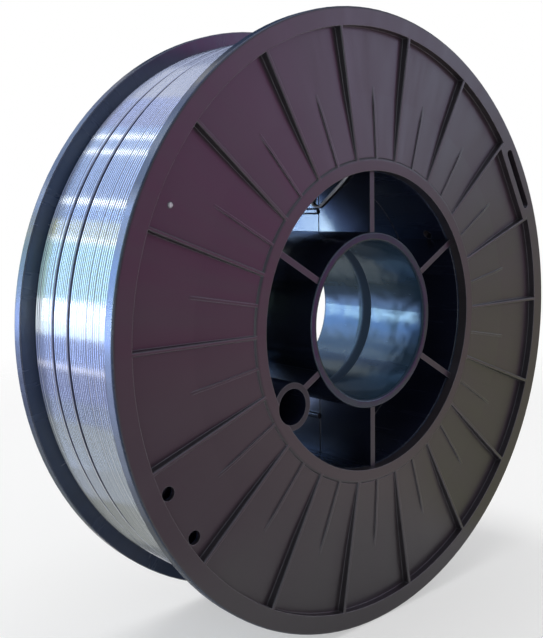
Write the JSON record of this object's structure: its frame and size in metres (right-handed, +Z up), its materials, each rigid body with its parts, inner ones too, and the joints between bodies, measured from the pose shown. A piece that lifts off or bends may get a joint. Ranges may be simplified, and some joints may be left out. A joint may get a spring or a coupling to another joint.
{
  "type": "welding wire spool",
  "caption": "Round plastic spool with two ribbed flanges, an open spoked hub and a spindle bore, wound full with bright welding wire.",
  "frame": {"origin": "centre of the spindle bore, half way between the two flange faces", "axes": "Y along the spool's axis with the front flange at -Y, Z up with the spool standing on the rims of its flanges, X to the right seen from the front"},
  "size_m": [0.2, 0.055, 0.2],
  "materials": {
    "spool_plastic": "satin gloss",
    "wire": "bright drawn"
  },
  "bodies": {
    "root": {"front_flange": "spool_plastic", "front_barrel": "spool_plastic", "front_spokes": "spool_plastic", "front_bore_tube": "spool_plastic", "rear_flange": "spool_plastic", "rear_barrel": "spool_plastic", "rear_spokes": "spool_plastic", "rear_bore_tube": "spool_plastic", "wire_inner_layers": "wire", "wire_outer_layer": "wire", "wire_start_tail": "wire"}
  },
  "joints": []
}
